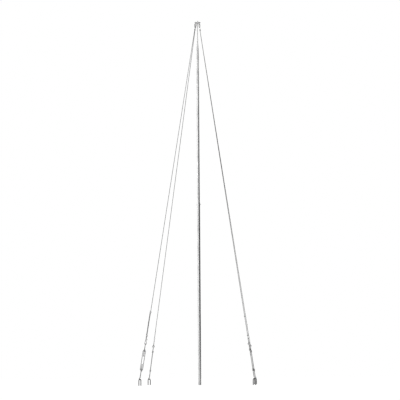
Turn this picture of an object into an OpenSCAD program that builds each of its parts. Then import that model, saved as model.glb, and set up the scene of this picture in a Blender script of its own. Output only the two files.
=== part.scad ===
// Guyed lightning rod mast: two steel tubes, a pointed air rod, and four wire rope guys
// with shackles, thimbles, ferrules, rope clips, turnbuckles and ground staples.
// Millimetres, +Z up, origin at the centre of the mast's foot, +X between the two right guys.

/* [Mast tubes] */
// Outside diameter of the lower tube
lower_od = 48.3; // [46:0.1:60.3]
// Length of the lower tube
lower_len = 3000; // [2000:10:4000]
// Outside diameter of the upper tube
upper_od = 42.4; // [36:0.1:43.5]
// Wall of the upper tube
upper_wall = 2.6; // [1.5:0.1:4]
// Length of the upper tube, with its swaged end
upper_len = 3000; // [2000:10:4000]
// Length of the upper tube that stands inside the lower one
socket_len = 226; // [180:1:400]
// Radial gap between the two tubes
socket_gap = 0.3; // [0.1:0.05:0.6]

/* [Swaged end] */
// Length of the taper at the top of the upper tube
taper_len = 150; // [80:1:300]
// Length of the straight neck that grips the air rod
neck_len = 45; // [25:1:90]

/* [Foot cap] */
// Thickness of the cap's disc under the lower tube
cap_disc = 6; // [3:0.5:12]
// Height of the cap's spigot inside the lower tube
cap_spigot = 40; // [15:1:80]
// Wall of the cap's spigot
cap_wall = 4; // [2:0.5:8]

/* [Joint bolts] */
// Diameter of the bolts through the joint of the two tubes
bolt_d = 10; // [6:1:14]
// Width across flats of the bolt heads and nuts
bolt_af = 16; // [14:0.5:22]
// Height of the bolt heads
bolt_head = 6.4; // [4:0.1:10]
// Height of the nuts
bolt_nut = 8; // [5:0.5:12]
// Length of thread that stands out of the nuts
bolt_end = 5; // [2:0.5:10]
// Depth of the upper bolt below the joint
upper_bolt_drop = 30; // [20:1:60]
// Distance between the two bolts
bolt_pitch = 100; // [40:1:120]
// Radial gap of the bolts in their holes
bolt_gap = 0.3; // [0.1:0.05:0.6]

/* [Air rod] */
// Diameter of the air rod
rod_d = 16; // [12:0.5:20]
// Length of the air rod, with its point
rod_len = 365; // [250:1:900]
// Length of the rod's point
rod_point = 15; // [8:1:40]
// Diameter of the flat at the end of the point
rod_flat = 3; // [1:0.5:6]

/* [Guy head] */
// Diameter of the hub on the air rod
hub_d = 34; // [28:0.5:44]
// Height of the hub
hub_h = 44; // [36:1:70]
// Chamfer on the hub's two edges
hub_chamfer = 2; // [0.5:0.5:4]
// Length of rod that stands out of the hub's top
tip_above = 16; // [16:1:120]
// Distance of the lug holes from the mast's axis
lug_reach = 38; // [34:0.5:60]
// Thickness of the lugs
lug_thick = 8; // [5:0.5:10]
// Radius of the lugs' round ends
lug_end = 11; // [9:0.5:14]

/* [Guys] */
// Diameter of the wire rope
rope_d = 8; // [6:0.5:8.5]
// Reach of the guys from the mast's axis to their staples
guy_reach = 1278; // [600:1:2500]
// Length of rope doubled back at the foot of the near right guy
near_right_tail = 400; // [150:1:800]
// Length of rope doubled back at the foot of the far right guy
far_right_tail = 310; // [150:1:800]
// Length of rope doubled back at the foot of the far left guy
far_left_tail = 200; // [150:1:800]
// Length of rope doubled back at the foot of the near left guy
near_left_tail = 480; // [150:1:800]
// Length of each rope eye, from the middle of its loop to where the strands close up
eye_len = 52; // [46:1:70]

/* [Thimbles] */
// Inner radius of the thimbles
thimble_r = 10; // [9:0.5:12]
// Metal under the rope in the thimble's groove
thimble_wall = 1.5; // [1:0.1:2.5]
// Thickness of the thimble's side flanges
thimble_side = 1.6; // [1:0.1:2]
// Height of the flanges above the rope's centre line
thimble_lip = 1; // [0.2:0.1:2]

/* [Ferrules] */
// Length of the pressed ferrules at the heads
ferrule_len = 32; // [20:1:45]
// Metal of the ferrules round the two strands
ferrule_wall = 2.8; // [2:0.1:4]
// Distance from where the strands close up to the ferrule
ferrule_start = 4; // [2:0.5:10]
// Length of rope that stands out of the ferrule
ferrule_end = 4; // [2:0.5:10]

/* [Shackles] */
// Diameter of the shackle pins
pin_d = 8; // [6:0.5:9]
// Diameter of the collar under the pins' eyes
pin_head_d = 14; // [11:0.5:16]
// Height of the collar under the pins' eyes
pin_head = 3; // [2:0.5:6]
// Diameter of the flat eye that turns the pin
pin_eye_d = 15; // [12:0.5:18]
// Thickness of the pin's flat eye
pin_eye_thick = 5; // [3:0.5:7]
// Diameter of the hole in the pin's eye
pin_eye_hole = 5.5; // [3:0.5:7]
// Diameter of the shackles' bow
bow_d = 8; // [6:0.5:9]
// Radius of the shackles' bow at the middle of its bar
bow_r = 14; // [13:0.5:16]
// Distance from the pin to the middle of the bow's round end
bow_drop = 24; // [22:1:40]
// Diameter of the shackles' ears
ear_d = 18; // [15:0.5:20]
// Thickness of the shackles' ears
ear_w = 9; // [6:0.5:10]

/* [Rope clips] */
// Diameter of the clips' U-bolts
clip_d = 6; // [5:0.5:7]
// Length of the clips' saddles along the rope
saddle_len = 22; // [18:1:28]
// Metal of the saddle under the rope
saddle_web = 5; // [3:0.5:8]
// Metal of the saddle around each arm of the U-bolt
saddle_rim = 2.5; // [1.5:0.5:4]
// Width across flats of the clips' nuts
clip_af = 10; // [9:0.5:12]
// Height of the clips' nuts
clip_nut = 5; // [3:0.5:7]
// Length of thread that stands out of the clips' nuts
clip_end = 4; // [1:0.5:8]
// Distance from where the strands close up to the first clip
first_clip = 14; // [12:1:24]
// Distance between the first two clips
clip_pitch = 56; // [34:1:70]
// Distance of the last clip from the rope's end
last_clip = 20; // [12:1:30]

/* [Turnbuckles] */
// Diameter of the turnbuckles' screws
screw_d = 13; // [8:0.5:14]
// Radius of the eye and of the hook at the middle of their bar
ring_r = 15; // [14:0.5:18]
// Diameter of the bar of the eye and of the hook
ring_d = 10; // [8:0.5:11]
// Angle that the hook goes round
hook_sweep = 255; // [240:5:300]
// Length of the hook's tapered tip
hook_tip = 5; // [2:0.5:8]
// Diameter at the end of the hook's tip
hook_tip_d = 6; // [3:0.5:8]
// Length of screw in sight below the body
lower_screw = 106; // [20:1:120]
// Length of screw in sight above the body
upper_screw = 62; // [20:1:120]
// Length of the screws that shows inside the body
inner_screw = 84; // [10:1:100]
// Length of the body
body_len = 356; // [300:1:400]
// Distance of each side bar from the guy's line
side_reach = 19; // [18:0.5:22]
// Diameter of the side bars
side_d = 11; // [6:0.5:11]
// Diameter of the body's two ends
end_d = 24; // [20:0.5:26]
// Length of the body's two ends
end_len = 34; // [26:1:45]

/* [Ground staples] */
// Diameter of the staples' bar
staple_d = 14; // [8:0.5:15]
// Distance between the staples' legs, middle to middle
staple_w = 50; // [44:1:70]
// Height of the staples above the ground
staple_h = 110; // [70:1:160]

/* [Fits] */
// Gap between pieces that hang on each other
seat_gap = 0.2; // [0.1:0.05:0.4]

/* [Hidden] */
$fn = 64;

SIDES = ["near_right", "far_right", "far_left", "near_left"];
MAST_PIECES = ["foot_cap", "lower_tube", "upper_tube", "joint_bolts", "air_rod", "guy_head"];
HEAD_PIECES = ["head_shackles", "head_shackle_pins", "head_thimbles", "head_ferrules"];
GUY_PIECES = [
    "guy_rope", "foot_clips", "foot_thimble", "turnbuckle_eye", "turnbuckle_body", "turnbuckle_hook",
    "ground_staple"
];

// One entry for each guy, in the order of SIDES
GUYS = [0 : len(SIDES) - 1];
AZIMUTH = [for (i = GUYS) 90 * i - 45];
FOOT_TAIL = [near_right_tail, far_right_tail, far_left_tail, near_left_tail];
// Turn of each turnbuckle and foot eye about its guy's line
TURN = [-45, 45, -45, -45];

// Colours
GALVANISED = "silver";
ALUMINIUM = "gainsboro";
ZINC = "darkgray";
ROPE = "dimgray";

// Mast
lower_id = upper_od + 2 * socket_gap;
upper_id = upper_od - 2 * upper_wall;
joint_z = cap_disc + lower_len;
upper_z = joint_z - socket_len;
upper_top = upper_z + upper_len;
neck_id = rod_d + 2 * seat_gap;
neck_od = neck_id + 2 * upper_wall;
rod_z = upper_top - neck_len;
rod_top = rod_z + rod_len;
hub_top = rod_top - tip_above;
lug_z = hub_top - hub_h / 2;
bolt_levels = [joint_z - upper_bolt_drop, joint_z - upper_bolt_drop - bolt_pitch];

// Rope eyes: the strands lie side by side, and open round the thimble's groove
rope_r = rope_d / 2;
strand_x = rope_r + seat_gap;
loop_r = thimble_r + thimble_wall + seat_gap + rope_r;
leg_angle = atan2(eye_len, strand_x) - acos(loop_r / norm([strand_x, eye_len]));
head_tail = ferrule_start + ferrule_len + ferrule_end;
ferrule_hole_r = rope_r + 1.5 * seat_gap;
thimble_half = rope_r + seat_gap + thimble_side;
thimble_leg = thimble_r / tan(leg_angle);
THIMBLE_STEPS = 28;

// Length by which a cut runs past the face it starts from
cut_over = 1;

// Places along a guy, from the middle of its staple's bar up to the lug's hole
ring_in = ring_r - ring_d / 2;
bow_in = bow_r - bow_d / 2;
staple_bar_z = staple_h - staple_d / 2;
hook_s = ring_in - staple_d / 2 - seat_gap;
body_s = hook_s + ring_r + lower_screw;
eye_s = body_s + body_len + upper_screw + ring_r;
foot_loop_s = eye_s + sqrt(pow(ring_in, 2) - pow(thimble_half, 2)) - seat_gap + thimble_r;
head_loop_drop = bow_drop + sqrt(pow(bow_in, 2) - pow(thimble_half, 2)) - seat_gap + thimble_r;

guy_len = norm([guy_reach - lug_reach, lug_z - staple_bar_z]);
guy_tilt = atan2(guy_reach - lug_reach, lug_z - staple_bar_z);

// Clips along a doubled end, measured from where the strands close up
function clip_places(tail) = [first_clip, first_clip + clip_pitch, tail - last_clip];

// Puts a guy's own frame in place: origin in the staple's bar, +Z along the guy, +X outwards
module at_guy(i) {
    rotate([0, 0, AZIMUTH[i]])
        translate([guy_reach, 0, staple_bar_z])
            rotate([0, -guy_tilt, 0])
                children();
}

// Stands a flat XY shape upright, with its Y along the guy
module upright(s, turn) {
    translate([0, 0, s])
        rotate([0, 0, turn])
            rotate([90, 0, 0])
                children();
}

// Mast

module foot_cap() {
    color(ZINC)
        difference() {
            union() {
                cylinder(d = lower_od, h = cap_disc);
                cylinder(d = lower_id - 2 * seat_gap, h = cap_disc + cap_spigot);
            }
            translate([0, 0, cap_disc])
                cylinder(d = lower_id - 2 * seat_gap - 2 * cap_wall, h = cap_spigot + cut_over);
        }
}

// Holes for the two crossed bolts of the joint
module bolt_holes() {
    for (k = [0, 1])
        translate([0, 0, bolt_levels[k]])
            rotate([0, 0, 90 * k])
                rotate([0, 90, 0])
                    cylinder(d = bolt_d + 2 * bolt_gap, h = 2 * lower_od, center = true);
}

module lower_tube() {
    color(GALVANISED)
        difference() {
            translate([0, 0, cap_disc])
                cylinder(d = lower_od, h = lower_len);
            translate([0, 0, cap_disc - cut_over])
                cylinder(d = lower_id, h = lower_len + 2 * cut_over);
            bolt_holes();
        }
}

// Half section of the upper tube: straight, tapered, and straight again in the neck
module upper_section() {
    taper_z = upper_top - neck_len - taper_len;
    neck_z = upper_top - neck_len;
    polygon([
        [upper_id / 2, upper_z],
        [upper_od / 2, upper_z],
        [upper_od / 2, taper_z],
        [neck_od / 2, neck_z],
        [neck_od / 2, upper_top],
        [neck_id / 2, upper_top],
        [neck_id / 2, neck_z],
        [upper_id / 2, taper_z]
    ]);
}

module upper_tube() {
    color(GALVANISED)
        difference() {
            rotate_extrude()
                upper_section();
            bolt_holes();
        }
}

// Bolt along +X: head on the left of the tube, nut on the right
module joint_bolt() {
    seat = lower_od / 2 + seat_gap;
    corner_d = bolt_af / cos(30);
    rotate([0, 90, 0]) {
        translate([0, 0, -seat])
            cylinder(d = bolt_d, h = 2 * seat + bolt_nut + bolt_end);
        translate([0, 0, -seat - bolt_head])
            cylinder(d = corner_d, h = bolt_head, $fn = 6);
        translate([0, 0, seat])
            cylinder(d = corner_d, h = bolt_nut, $fn = 6);
    }
}

module joint_bolts() {
    color(ZINC)
        for (k = [0, 1])
            translate([0, 0, bolt_levels[k]])
                rotate([0, 0, 90 * k])
                    joint_bolt();
}

module air_rod() {
    color(ALUMINIUM)
        translate([0, 0, rod_z]) {
            cylinder(d = rod_d, h = rod_len - rod_point);
            translate([0, 0, rod_len - rod_point])
                cylinder(d1 = rod_d, d2 = rod_flat, h = rod_point);
        }
}

// One lug, as a plate that stands on edge along +X
module lug() {
    rotate([90, 0, 0])
        translate([0, 0, -lug_thick / 2])
            linear_extrude(lug_thick)
                union() {
                    translate([0, -lug_end])
                        square([lug_reach, 2 * lug_end]);
                    translate([lug_reach, 0])
                        circle(r = lug_end);
                }
}

// Hole for a shackle's pin, along Y
module pin_hole(length) {
    rotate([90, 0, 0])
        cylinder(d = pin_d + 2 * seat_gap, h = length, center = true);
}

// Hub round the air rod, chamfered at both ends
module hub() {
    r = hub_d / 2;
    z = hub_h / 2;
    rotate_extrude()
        polygon([
            [0, -z],
            [r - hub_chamfer, -z],
            [r, hub_chamfer - z],
            [r, z - hub_chamfer],
            [r - hub_chamfer, z],
            [0, z]
        ]);
}

module guy_head() {
    color(ZINC)
        translate([0, 0, lug_z])
            difference() {
                union() {
                    hub();
                    for (a = AZIMUTH)
                        rotate([0, 0, a])
                            lug();
                }
                cylinder(d = rod_d + 2 * seat_gap, h = hub_h + 2 * cut_over, center = true);
                for (a = AZIMUTH)
                    rotate([0, 0, a])
                        translate([lug_reach, 0, 0])
                            pin_hole(lug_thick + 2 * cut_over);
            }
}

// Guy pieces, each in its guy's own frame

module head_shackle() {
    color(GALVANISED)
        translate([0, 0, guy_len])
            difference() {
                union() {
                    for (side = [-1, 1]) {
                        translate([0, side * bow_r, 0])
                            rotate([90, 0, 0])
                                cylinder(d = ear_d, h = ear_w, center = true);
                        translate([0, side * bow_r, -bow_drop])
                            cylinder(d = bow_d, h = bow_drop);
                    }
                    translate([0, 0, -bow_drop])
                        rotate([90, 0, 90])
                            rotate([0, 0, 180])
                                rotate_extrude(angle = 180)
                                    translate([bow_r, 0])
                                        circle(d = bow_d);
                }
                pin_hole(2 * bow_r + 2 * ear_w);
            }
}

// Flat eye of a shackle pin, upright on the collar's face with the pin's axis along +Z
module pin_eye() {
    rotate([90, 0, 0])
        translate([0, 0, -pin_eye_thick / 2])
            linear_extrude(pin_eye_thick)
                difference() {
                    union() {
                        translate([-pin_eye_d / 2, 0])
                            square([pin_eye_d, pin_eye_d / 2]);
                        translate([0, pin_eye_d / 2])
                            circle(d = pin_eye_d);
                    }
                    translate([0, pin_eye_d / 2])
                        circle(d = pin_eye_hole);
                }
}

module head_shackle_pin() {
    reach = bow_r + ear_w / 2 + seat_gap;
    color(ZINC)
        translate([0, 0, guy_len])
            rotate([-90, 0, 0]) {
                translate([0, 0, -reach - pin_head])
                    cylinder(d = pin_d, h = 2 * reach + pin_head);
                translate([0, 0, reach])
                    cylinder(d = pin_head_d, h = pin_head);
                translate([0, 0, reach + pin_head])
                    pin_eye();
            }
}

// Outline of a thimble's loop at one distance from its middle: round below, closing upwards
module thimble_outline(r) {
    bend = 180 + 2 * leg_angle;
    tip = r * [cos(leg_angle), sin(leg_angle)] + thimble_leg * [-sin(leg_angle), cos(leg_angle)];
    polygon(concat(
        [
            for (k = [0 : THIMBLE_STEPS])
                let (a = 180 - leg_angle + bend * k / THIMBLE_STEPS)
                    r * [cos(a), sin(a)]
        ],
        [tip, [-tip[0], tip[1]]]
    ));
}

// Thimble in the XY plane, with its round end down and its legs closing upwards:
// a plate with the rope's channel round its edge and a slit where the legs meet
module thimble() {
    difference() {
        linear_extrude(2 * thimble_half, center = true)
            difference() {
                thimble_outline(loop_r + thimble_lip);
                thimble_outline(thimble_r);
                translate([-seat_gap, 0])
                    square([2 * seat_gap, 2 * eye_len]);
            }
        linear_extrude(rope_d + 2 * seat_gap, center = true)
            difference() {
                thimble_outline(loop_r + thimble_lip + cut_over);
                thimble_outline(thimble_r + thimble_wall);
            }
    }
}

module head_thimble() {
    color(GALVANISED)
        upright(guy_len - head_loop_drop, 0)
            rotate([0, 0, 180])
                thimble();
}

module foot_thimble(i) {
    color(GALVANISED)
        upright(foot_loop_s, TURN[i])
            thimble();
}

// U-bolt and nuts of a clip: bow over the loose strand on +X, nuts outside the main strand
module clip_bolt() {
    arm_y = rope_r + seat_gap + clip_d / 2;
    nut_x = strand_x + rope_r + saddle_web + seat_gap;
    translate([strand_x, 0, 0])
        rotate([0, 0, -90])
            rotate_extrude(angle = 180)
                translate([arm_y, 0])
                    circle(d = clip_d);
    for (side = [-1, 1])
        translate([0, side * arm_y, 0])
            rotate([0, -90, 0]) {
                translate([0, 0, -strand_x])
                    cylinder(d = clip_d, h = strand_x + nut_x + clip_nut + clip_end);
                translate([0, 0, nut_x])
                    cylinder(d = clip_af / cos(30), h = clip_nut, $fn = 6);
            }
}

// Saddle of a clip, under the main strand on -X
module clip_saddle() {
    arm_y = rope_r + seat_gap + clip_d / 2;
    ear_r = clip_d / 2 + saddle_rim;
    depth = rope_r + saddle_web;
    translate([-strand_x, 0, 0])
        difference() {
            union() {
                translate([-depth, -arm_y, -saddle_len / 2])
                    cube([depth, 2 * arm_y, saddle_len]);
                for (side = [-1, 1])
                    translate([-depth, side * arm_y, 0])
                        rotate([0, 90, 0])
                            cylinder(r = ear_r, h = depth);
            }
            cylinder(r = rope_r + seat_gap, h = saddle_len + 2 * cut_over, center = true);
            for (side = [-1, 1])
                translate([-depth - cut_over, side * arm_y, 0])
                    rotate([0, 90, 0])
                        cylinder(d = clip_d + 2 * seat_gap, h = depth + 2 * cut_over);
        }
}

module clip() {
    clip_bolt();
    clip_saddle();
}

// Oval sleeve pressed round both strands, below the rope's eye
module head_ferrule() {
    r = ferrule_hole_r + ferrule_wall;
    color(ALUMINIUM)
        translate([0, 0, guy_len - head_loop_drop - eye_len - ferrule_start - ferrule_len])
            linear_extrude(ferrule_len)
                difference() {
                    union() {
                        translate([-strand_x, -r])
                            square([2 * strand_x, 2 * r]);
                        for (side = [-1, 1])
                            translate([side * strand_x, 0])
                                circle(r = r);
                    }
                    for (side = [-1, 1])
                        translate([side * strand_x, 0])
                            circle(r = ferrule_hole_r);
                }
}

module foot_clips(i) {
    color(ZINC)
        for (place = clip_places(FOOT_TAIL[i]))
            translate([0, 0, foot_loop_s + eye_len + place])
                rotate([0, 0, TURN[i]])
                    clip();
}

// Points of the rope's line, from its loose end at the head to its loose end at the foot
LOOP_STEPS = 16;
function turned(x, z, turn) = [x * cos(turn), x * sin(turn), z];
function loop_points(s, turn, from, to) = [
    for (k = [0 : LOOP_STEPS])
        let (a = from + (to - from) * k / LOOP_STEPS)
            turned(loop_r * cos(a), s + loop_r * sin(a), turn)
];
function rope_points(i) =
    let (
        head_s = guy_len - head_loop_drop,
        head_close = head_s - eye_len,
        foot_close = foot_loop_s + eye_len
    )
    concat(
        [[strand_x, 0, head_close - head_tail], [strand_x, 0, head_close]],
        loop_points(head_s, 0, -leg_angle, 180 + leg_angle),
        [
            [-strand_x, 0, head_close],
            [-strand_x, 0, head_close - head_tail],
            turned(-strand_x, foot_close + FOOT_TAIL[i], TURN[i]),
            turned(-strand_x, foot_close, TURN[i])
        ],
        loop_points(foot_loop_s, TURN[i], 180 - leg_angle, 360 + leg_angle),
        [
            turned(strand_x, foot_close, TURN[i]),
            turned(strand_x, foot_close + FOOT_TAIL[i], TURN[i])
        ]
    );

function unit(v) = v / norm(v);
function heading(p, k) =
    k == 0 ? unit(p[1] - p[0])
    : k == len(p) - 1 ? unit(p[k] - p[k - 1])
    : unit(unit(p[k + 1] - p[k]) + unit(p[k] - p[k - 1]));

// Round tube along a line of points that never runs along Y
ROPE_SIDES = 12;
module tube_along(p, r) {
    last = len(p) - 1;
    rings = [
        for (k = [0 : last])
            let (t = heading(p, k), a = unit(cross([0, 1, 0], t)), b = cross(t, a))
                for (j = [0 : ROPE_SIDES - 1])
                    p[k] + r * (cos(360 * j / ROPE_SIDES) * a + sin(360 * j / ROPE_SIDES) * b)
    ];
    walls = [
        for (k = [0 : last - 1])
            for (j = [0 : ROPE_SIDES - 1])
                let (n = (j + 1) % ROPE_SIDES, low = k * ROPE_SIDES, high = low + ROPE_SIDES)
                    [low + j, high + j, high + n, low + n]
    ];
    near_end = [for (j = [0 : ROPE_SIDES - 1]) j];
    far_end = [for (j = [ROPE_SIDES - 1 : -1 : 0]) last * ROPE_SIDES + j];
    polyhedron(points = rings, faces = concat([near_end], walls, [far_end]));
}

module guy_rope(i) {
    color(ROPE)
        tube_along(rope_points(i), rope_r);
}

module turnbuckle_eye(i) {
    color(GALVANISED)
        rotate([0, 0, TURN[i]])
            translate([0, 0, eye_s]) {
                rotate([0, 90, 0])
                    rotate_extrude()
                        translate([ring_r, 0])
                            circle(d = ring_d);
                translate([0, 0, -ring_r - upper_screw - end_len - inner_screw])
                    cylinder(d = screw_d, h = upper_screw + end_len + inner_screw);
            }
}

module turnbuckle_hook() {
    color(GALVANISED)
        translate([0, 0, hook_s]) {
            rotate([90, 0, 0])
                rotate([0, 0, 90 - hook_sweep]) {
                    rotate_extrude(angle = hook_sweep)
                        translate([ring_r, 0])
                            circle(d = ring_d);
                    translate([ring_r, 0, 0])
                        rotate([90, 0, 0])
                            cylinder(d1 = ring_d, d2 = hook_tip_d, h = hook_tip);
                }
            translate([0, 0, ring_r])
                cylinder(d = screw_d, h = lower_screw + end_len + inner_screw);
        }
}

// Open body: two side bars, bent in at both ends to the tapped ends
module turnbuckle_body(i) {
    bar_len = body_len - 2 * end_len;
    color(GALVANISED)
        rotate([0, 0, TURN[i]])
            translate([0, 0, body_s + body_len / 2])
                difference() {
                    union() {
                        for (side = [-1, 1])
                            translate([side * side_reach, 0, 0])
                                cylinder(d = side_d, h = bar_len, center = true);
                        for (flip = [0, 1])
                            mirror([0, 0, flip])
                                translate([0, 0, bar_len / 2]) {
                                    rotate([90, 0, 0])
                                        rotate_extrude(angle = 180)
                                            translate([side_reach, 0])
                                                circle(d = side_d);
                                    cylinder(d = end_d, h = end_len);
                                }
                    }
                    cylinder(d = screw_d + 2 * seat_gap, h = body_len + 2 * cut_over, center = true);
                }
}

module ground_staple(i) {
    bend_r = staple_w / 2;
    bend_z = staple_bar_z - bend_r;
    color(GALVANISED)
        rotate([0, 0, AZIMUTH[i]])
            translate([guy_reach, 0, 0]) {
                for (side = [-1, 1])
                    translate([0, side * bend_r, 0])
                        cylinder(d = staple_d, h = bend_z);
                translate([0, 0, bend_z])
                    rotate([90, 0, 90])
                        rotate_extrude(angle = 180)
                            translate([bend_r, 0])
                                circle(d = staple_d);
            }
}

foot_cap();
lower_tube();
upper_tube();
joint_bolts();
air_rod();
guy_head();
for (i = GUYS) at_guy(i) head_shackle();  // head_shackles
for (i = GUYS) at_guy(i) head_shackle_pin();  // head_shackle_pins
for (i = GUYS) at_guy(i) head_thimble();  // head_thimbles
for (i = GUYS) at_guy(i) head_ferrule();  // head_ferrules
for (i = GUYS) {
    at_guy(i) guy_rope(i);
    at_guy(i) foot_clips(i);
    at_guy(i) foot_thimble(i);
    at_guy(i) turnbuckle_eye(i);
    at_guy(i) turnbuckle_body(i);
    at_guy(i) turnbuckle_hook();
    ground_staple(i);
}
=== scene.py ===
"""Looks of a guyed lightning rod mast: galvanised tubes, air rod, wire rope guys and their fittings."""

import math

import bpy
import numpy as np
from mathutils import Matrix, Vector


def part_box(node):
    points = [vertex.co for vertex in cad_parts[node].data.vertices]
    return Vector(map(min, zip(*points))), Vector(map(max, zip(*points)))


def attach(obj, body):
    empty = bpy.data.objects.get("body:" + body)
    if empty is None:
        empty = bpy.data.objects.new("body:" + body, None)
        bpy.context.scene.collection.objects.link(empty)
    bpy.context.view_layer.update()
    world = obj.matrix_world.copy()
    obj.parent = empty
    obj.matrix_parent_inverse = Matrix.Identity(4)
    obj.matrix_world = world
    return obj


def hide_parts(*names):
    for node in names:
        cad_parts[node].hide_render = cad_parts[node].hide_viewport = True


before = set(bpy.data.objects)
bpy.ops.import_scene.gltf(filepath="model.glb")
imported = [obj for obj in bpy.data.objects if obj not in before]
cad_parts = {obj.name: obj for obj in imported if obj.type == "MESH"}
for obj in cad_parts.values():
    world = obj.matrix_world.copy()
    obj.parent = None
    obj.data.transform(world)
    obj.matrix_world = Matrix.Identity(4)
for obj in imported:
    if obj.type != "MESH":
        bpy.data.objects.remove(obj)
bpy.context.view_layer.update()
TAU = math.tau

# Camera, in metres and degrees, with its lens in millimetres
CAMERA_TURN = 2.665
CAMERA_DISTANCE = 24.25
CAMERA_HEIGHT = 0.15
CAMERA_LENS = 132.23
CAMERA_SENSOR = 36.0
CAMERA_REACH = 400.0
CAMERA_ROLL = -0.39
AIM_ASIDE = 0.0247
AIM_HEIGHT = 3.0506

# Light, floor and the dark card, in metres and degrees
FILL = 0.45
KEY_ENERGY = 1.2
KEY_ANGLE = 50.0
KEY_FROM = Vector((-1.0, -0.45, 0.55))
FLOOR_HALF = 60.0
FLOOR_TONE = 0.8
FLOOR_GLOW = 0.54
CARD_INNER = 3.5
CARD_RADIUS = 9.0
CARD_LIFT = 0.01
CARD_HEIGHT = 7.0
CARD_TURN = (12.0, 184.0)
CARD_POINTS = 13
CARD_TONE = 0.02

# Fineness of the meshes
SMOOTH_ANGLE = math.radians(38.0)
TUBE_SIDES = 96
HUB_SIDES = 64
ROUND = 48
COLLAR_SIDES = 40
SCREW_SIDES = 32
SADDLE_SIDES = 28
BAR_SIDES = 24
U_BOLT_SIDES = 18
BEAD_SIDES = 12
CORE_SIDES = 8
WIRE_SIDES = 6
THREAD_SIDES = 4
LOOP_STEPS = 48
EDGE_STEPS = 8
THREAD_STEPS = 14
CLIP_THREAD_STEPS = 10
ROPE_STEPS = 13
BINDING_STEPS = 18
BEAD_POINTS = 97
TAPER_POINTS = 25

# Clearance between pieces that touch, in metres
SEAT_GAP = 0.0002

# Mast, in metres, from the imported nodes
LOWER_LOW, LOWER_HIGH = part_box("lower_tube")
UPPER_LOW, UPPER_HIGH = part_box("upper_tube")
ROD_LOW, ROD_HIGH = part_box("air_rod")
CAP_LOW, CAP_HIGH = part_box("foot_cap")
LOWER_R = LOWER_HIGH.x
UPPER_R = UPPER_HIGH.x
ROD_R = ROD_HIGH.x
TUBE_GAP = 0.0003
TUBE_WALL = 0.0026
TUBE_RIM = 0.0008
CAP_EDGE = 0.001
TAPER_LEN = 0.15
TAPER_EASE = 0.25
NECK_LEN = 0.045
NECK_R = ROD_R + SEAT_GAP + TUBE_WALL
ROD_POINT = 0.015
ROD_FLAT_R = 0.0015
ROD_EASE = 0.001

# Ends of screws, threads and nuts
END_CHAMFER = 0.0006
THREAD_IN = 0.001
NUT_FACE = 0.48
NUT_SLOPE = math.radians(30.0)

# Joint bolts
BOLT_R = 0.005
BOLT_ROOT_R = 0.84 * BOLT_R
BOLT_POINT_R = 0.7 * BOLT_R
BOLT_AF = 0.016
BOLT_HEAD = 0.0064
BOLT_NUT = 0.008
BOLT_END = 0.005
BOLT_PITCH = 0.0015
BOLT_DROPS = (0.03, 0.13)

# Guy head
HUB_R = 0.017
HUB_HALF = 0.022
HUB_CHAMFER = 0.002
TIP_ABOVE = 0.016
LUG_REACH = 0.038
LUG_BACK = 0.026
LUG_HALF = 0.004
LUG_END = 0.011
LUG_BEVEL = 0.0008
BEAD_R = 0.0022
BEAD_STEP = 0.0022
BEAD_DIP = 0.14
BEAD_LEAST = 0.2
GRUB_R = 0.004
GRUB_AF = 0.004
GRUB_DEEP = 0.003
GRUB_PROUD = 0.0016
LUG_Z = ROD_HIGH.z - TIP_ABOVE - HUB_HALF

# Ropes and their eyes, with the groove's half turn in radians
GUY_REACH = 1.278
ROPE_R = 0.004
ROPE_LAY = 0.052
ROPE_STRANDS = 6
STRAND_R = ROPE_R / 3.0
STRAND_SWELL = 1.04
CORE_SWELL = 1.25
STRAND_WIRES = 6
WIRE_LAY = 0.018
STRAND_X = ROPE_R + SEAT_GAP
BINDING_WIRE = 0.0005
BINDING_R = ROPE_R + 0.6 * BINDING_WIRE
BINDING_PITCH = 0.0011
BINDING_START = 0.004
BINDING_LEN = 0.012
THIMBLE_R = 0.010
THIMBLE_WALL = 0.0015
THIMBLE_SIDE = 0.0016
THIMBLE_LIP = 0.001
THIMBLE_EDGE = 0.0008
LIP_EDGE = 0.0005
LIP_TOP = 0.0004
LIP_FADE = 1.6
HOLLOW_TURN = 1.25
LEG_SHARE = 0.97
THIMBLE_HALF = ROPE_R + SEAT_GAP + THIMBLE_SIDE
LOOP_R = THIMBLE_R + THIMBLE_WALL + SEAT_GAP + ROPE_R
EYE_LEN = 0.052
LEG_ANGLE = math.atan2(EYE_LEN, STRAND_X) - math.acos(LOOP_R / math.hypot(STRAND_X, EYE_LEN))

# Ferrules
FERRULE_LEN = 0.032
FERRULE_START = 0.004
FERRULE_END = 0.004
FERRULE_EDGE = 0.003
FERRULE_WALL = 0.0028
FERRULE_R = ROPE_R + 1.5 * SEAT_GAP + FERRULE_WALL
HEAD_TAIL = FERRULE_START + FERRULE_LEN + FERRULE_END

# Shackles
PIN_R = 0.004
PIN_ROOT_R = 0.86 * PIN_R
PIN_POINT_R = 0.75 * PIN_R
PIN_PITCH = 0.00125
PIN_PLAIN = 0.012
COLLAR_R = 0.007
COLLAR = 0.003
COLLAR_EDGE = 0.0007
PIN_EYE_R = 0.0075
PIN_EYE_HALF = 0.0025
PIN_EYE_HOLE = 0.00275
PIN_EYE_BEVEL = 0.0006
BOW_BAR = 0.004
BOW_R = 0.014
BOW_DROP = 0.024
BOW_LEG = 0.95
EAR_R = 0.009
EAR_HALF = 0.0045
EAR_EDGE = 0.0014
EAR_FLARE = 0.35
EAR_FLARE_LEN = 0.014

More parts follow.
